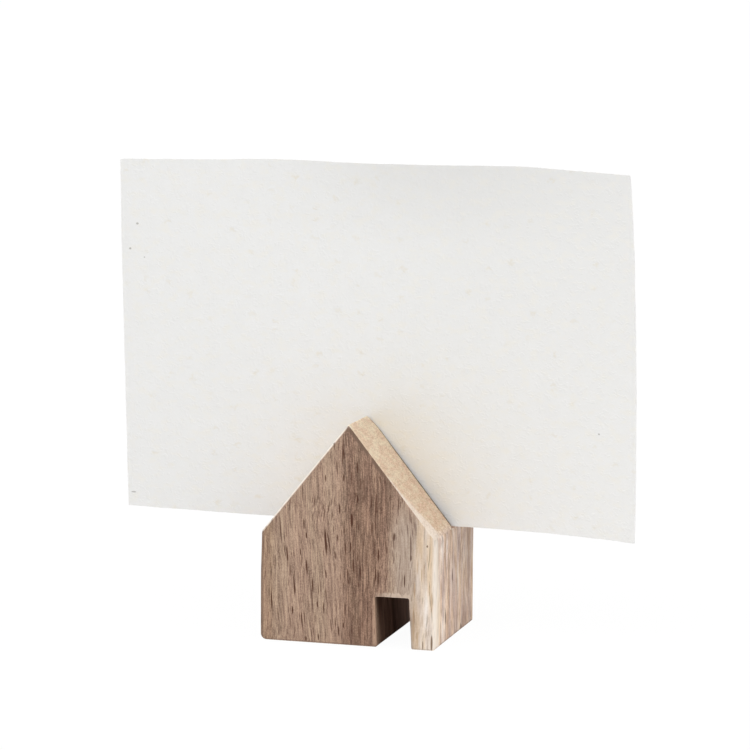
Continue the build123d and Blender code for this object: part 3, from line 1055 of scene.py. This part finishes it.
placeCard = {
    "width": 0.1210,
    "height": 0.08226,
    "thickness": 0.0005,
    "shift": 0.0020,  # its middle, right of the house's middle
    "lean": 3.99,  # degrees forward
    "footY": 0.00085,
    "curlStart": 0.0210,
    "curlRadius": 0.1320,  # the right wing curls forward
    "topBow": 0.00063,  # the cut edges aren't quite straight
    "rightBow": 0.00076,
    "topBumps": (  # place, width and height
        (-0.0230, 0.0085, 0.00031),
        (0.0362, 0.0072, 0.00024),
        (-0.0130, 0.0060, 0.00015),
        (0.0340, 0.0240, 0.00024),
    ),
    "rightSkew": -0.00114,
    "leftSkew": 0.00011,
    "cutCorner": 0.00020,  # the left edge draws in at its top
    "cutCornerStart": 0.7,  # share of the height
    "leftRise": 0.00054,  # the bottom edge rises to its ends
    "rightRise": 0.00012,
    "riseSpan": (0.35, 1.3),  # shares of the half width
    "riseGain": 1.25,
    "straightFoot": 0.4,  # share of the half width that stands in the slot, cut straight
    "edgeWobble": 0.00007,
    "fineWobble": 0.35,  # how strong the fine wobble is beside the broad one
    "wobbleLengths": (0.006, 0.0012),  # broad and fine
    "wobbleRows": {"left": 3.7, "right": 9.1, "bottom": 5.3, "top": 1.9},  # so that no two edges are alike
    "cell": 0.0007,
    "cockle": 0.00006,
    "cockleLength": 0.028,
    "freeAside": 0.012,  # the sheet is free this far beside the house, and above it
    "freeHeights": (0.026, 0.040),
    "topCurl": 0.0028,  # the top edge tips forward, most right of its middle
    "topCurlStart": 0.064,
    "curlMiddle": 0.010,
    "curlSpread": (0.022, 0.040),  # to the left and to the right
}
paperFace, paperEdge = range(2)  # the card's materials, in this order


def edgeWobble(along, edge):
    row = placeCard["wobbleRows"][edge]
    broadLength, fineLength = placeCard["wobbleLengths"]
    broad = noise.noise(Vector((along / broadLength, row, 0.0)))
    fine = noise.noise(Vector((along / fineLength, row, 7.0)))
    return placeCard["edgeWobble"] * (broad + placeCard["fineWobble"] * fine)


def cardOutline(across, upward):
    # across and upward run from 0 to 1; gives the place on the flat sheet
    half = placeCard["width"] / 2
    side = 2 * across - 1
    left = placeCard["shift"] - half + placeCard["leftSkew"] * (upward - 0.5)
    right = placeCard["shift"] + half + placeCard["rightSkew"] * (upward - 0.5)
    right += placeCard["rightBow"] * 4 * upward * (1 - upward)
    left += placeCard["cutCorner"] * smoothStep(upward, placeCard["cutCornerStart"], 1.0)
    left += edgeWobble(upward * placeCard["height"], "left")
    right += edgeWobble(upward * placeCard["height"], "right")
    along = left + (right - left) * across
    bottom = placeCard["rightRise" if side > 0.0 else "leftRise"]
    bottom *= smoothStep(abs(side), *placeCard["riseSpan"])
    bottom *= placeCard["riseGain"]
    if abs(side) > placeCard["straightFoot"]:
        bottom += edgeWobble(along, "bottom")
    top = placeCard["height"] - placeCard["topBow"] * side * side + edgeWobble(along, "top")
    for place, width, rise in placeCard["topBumps"]:
        top += rise * exp(-(((along - place) / width) ** 2))
    return along, bottom + (top - bottom) * upward


def cardCockle(along, height):
    # how far the sheet stands forward of its plain curl
    beside = smoothStep(abs(along), halfWidth, halfWidth + placeCard["freeAside"])
    free = max(beside, smoothStep(height, *placeCard["freeHeights"]))
    start, length = placeCard["topCurlStart"], placeCard["cockleLength"]
    rim = max(height - start, 0.0) / (placeCard["height"] - start)
    aside = along - placeCard["curlMiddle"]
    spread = placeCard["curlSpread"][1 if aside > 0.0 else 0]
    lift = placeCard["topCurl"] * rim * rim * exp(-((aside / spread) ** 2))
    lift += placeCard["cockle"] * noise.noise(Vector((along / length, height / length, 2.0)))
    return lift * free


def cardPoint(along, height, forward):
    angle = max(along - placeCard["curlStart"], 0.0) / placeCard["curlRadius"]
    x = min(along, placeCard["curlStart"]) + placeCard["curlRadius"] * sin(angle)
    y = -placeCard["curlRadius"] * (1.0 - cos(angle))
    x -= forward * sin(angle)
    y -= forward * cos(angle)
    lean = radians(placeCard["lean"])
    footZ = houseBlock["slotFloor"] + placeCard["thickness"] / 2 * sin(lean)
    leaningY = placeCard["footY"] + y * cos(lean) - height * sin(lean)
    leaningZ = footZ + y * sin(lean) + height * cos(lean)
    return Vector((x, leaningY, leaningZ))


def buildCard(materials):
    columns = round(placeCard["width"] / placeCard["cell"])
    rows = round(placeCard["height"] / placeCard["cell"])
    half = placeCard["thickness"] / 2
    shape = bmesh.new()
    sheets = []
    for side in (half, -half):
        grid = []
        for column in range(columns + 1):
            line = []
            for row in range(rows + 1):
                along, height = cardOutline(column / columns, row / rows)
                forward = cardCockle(along, height) + side
                line.append(shape.verts.new(cardPoint(along, height, forward)))
            grid.append(line)
        sheets.append(grid)
    front, back = sheets
    for column in range(columns):
        for row in range(rows):
            near, far = column, column + 1
            shape.faces.new((front[near][row], front[far][row], front[far][row + 1], front[near][row + 1]))
            shape.faces.new((back[near][row], back[near][row + 1], back[far][row + 1], back[far][row]))
    border = [(column, 0) for column in range(columns)]
    border += [(columns, row) for row in range(rows)]
    border += [(column, rows) for column in range(columns, 0, -1)]
    border += [(0, row) for row in range(rows, 0, -1)]
    for here, after in zip(border, border[1:] + border[:1]):
        around = ((front, here), (back, here), (back, after), (front, after))
        corners = [sheet[column][row] for sheet, (column, row) in around]
        shape.faces.new(corners).material_index = paperEdge
    bmesh.ops.recalc_face_normals(shape, faces=shape.faces)
    for face in shape.faces:
        face.smooth = face.material_index == paperFace
    for edge in shape.edges:  # the cut edges are crisp
        edge.smooth = all(face.material_index == paperFace for face in edge.link_faces)
    card = objectFromShape("paperCard", shape, materials)
    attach(card, "card")
    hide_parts("place_card")
    print("place card built:", len(card.data.polygons), "faces")


# Handmade paper: cotton pulp with fine fibres and a few flecks

handmadePaper = {
    "pulp": (0.831, 0.831, 0.822),
    # the darker pulp, which also carries the painted shade at the top right
    "darkPulpAndShade": (0.801, 0.800, 0.788),
    "warmPulp": (0.828, 0.815, 0.775),
    "strawFleck": (0.720, 0.650, 0.500),
    "barkFleck": (0.120, 0.090, 0.060),
    "warmStrength": 0.75,
    "gloss": 0.15,
    "roughness": (0.85, 0.97),
    "bumpDepth": 0.00008,
    "face": {"flecks": 0.45, "bump": 0.35},
    "edge": {"flecks": 0.2, "bump": 0.6},
    # painted shade, the paper darker towards the top right: millimetres right of the middle, and heights
    "topShadeSpan": (-5.0, 45.0),
    "topShadeHeights": (45.0, 105.0),
    # patterns: how often each repeats in a millimetre, its detail and its roughness
    "patterns": {
        "fine": ((1.3, 1.3, 1.3), 4.0, 0.65),
        "broad": ((0.25, 0.25, 0.25), 2.0, 0.5),
        "tooth": ((2.4, 2.4, 2.4), 4.0, 0.65),
        "lines": ((0.8, 0.8, 0.8), 1.0, 0.5),
        "warm": ((0.32, 0.45, 0.45), 2.0, 0.6),
    },
    "strawRepeats": (0.20, 0.27, 1.0),
    # dark specks: right of the middle, height above the table, half width, half height, in millimetres
    "specks": (
        (-56.4, 85.8, 0.30, 0.26), (-54.5, 91.6, 0.36, 0.26), (53.9, 48.4, 0.24, 0.22),
        (-57.2, 28.7, 0.65, 0.18), (-53.0, 83.9, 0.20, 0.14),
    ),
}


def buildPulpFibres():
    outputs = ("Cloud And Shade", "Warm", "Straw", "Bark", "Height")
    group, take, give = newGroup("pulpFibres", ("Fleck Amount",), outputs)
    patterns = handmadePaper["patterns"]
    apart = apartXYZ(group, millimetres(group, take["Position"]))
    flat = joinXYZ(group, X=apart["X"], Y=apart["Z"])
    names = ("fine", "broad", "tooth", "warm")
    fine, broad, tooth, warm = (scaledNoise(group, flat, *patterns[name]) for name in names)
    # painted shade: darker towards the top right
    topShade = fadeBetween(group, apart["X"], *handmadePaper["topShadeSpan"])
    topShade = product(group, topShade, fadeBetween(group, apart["Z"], *handmadePaper["topShadeHeights"]))
    cloudAndShade = minus(group, weighted(group, ((fine, 0.6), (broad, 0.4))), product(group, topShade, 0.25))
    # short curling fibres stand out of a fine tooth
    lines = scaledNoise(group, flat, *patterns["lines"], "Color")
    parted = apartColour(group, lines)
    curl = fadeBetween(group, absolute(group, minus(group, parted[0], 0.5)), 0.10, 0.02)
    curl = product(group, curl, fadeBetween(group, parted[1], 0.50, 0.62))

    ragged = vectorCalc(group, "ADD", flat, stretched(group, lines, (3.0, 2.4, 0.0)))
    cells = scaledCells(group, ragged, handmadePaper["strawRepeats"])
    chance = fadeBetween(group, apartColour(group, cells["Color"])[0], 0.5, 1.2)
    straw = fadeBetween(group, cells["Distance"], 0.22, 0.0)
    specks = []
    for x, z, half, tall in handmadePaper["specks"]:
        specks.append(ovalMark(group, flat, (x, z, 0.0), (half, tall, 1.0)))
    putOut(group, give, {
        "Cloud And Shade": fadeBetween(group, cloudAndShade, 0.2, 0.75),
        "Warm": fadeBetween(group, warm, 0.46, 0.70),
        "Straw": product(group, straw, chance, take["Fleck Amount"]),
        "Bark": product(group, largest(group, specks), take["Fleck Amount"]),
        "Height": weighted(group, ((tooth, 0.6), (curl, 0.9))),
    })
    return group


def paperMaterial(name, flecks, bump):
    material, tree, shader = newMaterial(name)
    pulp = useGroup(tree, pulpGroup, {"Position": objectPosition(tree), "Fleck Amount": flecks})
    height = pulp["Height"]
    # random cloud, and painted shade towards the top right
    colour = mixColour(tree, pulp["Cloud And Shade"], handmadePaper["darkPulpAndShade"], handmadePaper["pulp"])
    colour = covered(tree, colour, pulp["Warm"], handmadePaper["warmStrength"], handmadePaper["warmPulp"])
    colour = mixColour(tree, pulp["Straw"], colour, handmadePaper["strawFleck"])
    colour = mixColour(tree, pulp["Bark"], colour, handmadePaper["barkFleck"])
    roughness = fadeBetween(tree, height, 0.3, 0.7, *handmadePaper["roughness"])
    bumpInputs = {"Height": height, "Strength": bump, "Distance": handmadePaper["bumpDepth"]}
    finishSurface(tree, shader, colour, roughness, handmadePaper["gloss"], bumpInputs)
    return material


pulpGroup = buildPulpFibres()
print("paper effects built")


# Floor and light

studio = {
    "floorSize": 40.0,
    "floorColour": (0.80, 0.80, 0.80),
    "shadowShare": 0.04,  # how much of the floor's white comes from the lamps, so how dark a shadow is
    "floorGlow": 0.96,
    "worldLight": 0.45,
    "white": (1.0, 1.0, 1.0),
    "lamps": {  # strength, where it shines from, and how wide it is in degrees
        "softKey": (2.26, (-0.15, -0.45, 0.880), 70.0),
        "sideFill": (1.05, (0.9, 0.2, 0.39), 60.0),
    },
}


def seenMix(tree, lit, seen):
    # what lights the object, and what the camera and reflections see in its place
    path = addNode(tree, "ShaderNodeLightPath").outputs
    share = largest(tree, (path["Is Camera Ray"], path["Is Glossy Ray"], path["Is Transmission Ray"]))
    return addNode(tree, "ShaderNodeMixShader", {0: share, 1: lit.outputs[0], 2: seen.outputs[0]}).outputs[0]


def addFloor():
    half = studio["floorSize"] / 2
    corners = [(-half, -half, 0.0), (half, -half, 0.0), (half, half, 0.0), (-half, half, 0.0)]
    mesh = bpy.data.meshes.new("paleFloor")
    mesh.from_pydata(corners, [], [(0, 1, 2, 3)])
    floor = linkObject("paleFloor", mesh)
    material = bpy.data.materials.new("paleFloor")
    material.use_nodes = True
    tree = material.node_tree
    tree.nodes.clear()
    plain = addNode(tree, "ShaderNodeBsdfDiffuse", {"Color": opaque(studio["floorColour"])})
    share = studio["shadowShare"]
    faint = addNode(tree, "ShaderNodeBsdfDiffuse", {"Color": opaque((share, share, share))})
    glow = addNode(tree, "ShaderNodeEmission", {"Strength": studio["floorGlow"]})
    seen = addNode(tree, "ShaderNodeAddShader", {0: faint.outputs[0], 1: glow.outputs[0]})
    addNode(tree, "ShaderNodeOutputMaterial", {"Surface": seenMix(tree, plain, seen)})
    mesh.materials.append(material)


def addLight():
    world = bpy.data.worlds.new("studio")
    scene.world = world
    world.use_nodes = True
    tree = world.node_tree
    tree.nodes.clear()
    white = opaque(studio["white"])
    lit = addNode(tree, "ShaderNodeBackground", {"Color": white, "Strength": studio["worldLight"]})
    backdrop = addNode(tree, "ShaderNodeBackground", {"Color": white, "Strength": 1.0})
    addNode(tree, "ShaderNodeOutputWorld", {"Surface": seenMix(tree, lit, backdrop)})

    for name, (strength, comesFrom, angle) in studio["lamps"].items():
        data = bpy.data.lights.new(name, "SUN")
        data.energy = strength
        data.angle = radians(angle)
        lamp = linkObject(name, data)
        lamp.rotation_euler = Vector(comesFrom).to_track_quat("Z", "Y").to_euler()


buildHouse([longGrainMaterial(), endGrainMaterial(), scorchedAndShadedMaterial()])
buildCard([
    paperMaterial("paperFace", **handmadePaper["face"]),
    paperMaterial("paperEdge", **handmadePaper["edge"]),
])
addFloor()
addLight()
print("floor and light set")
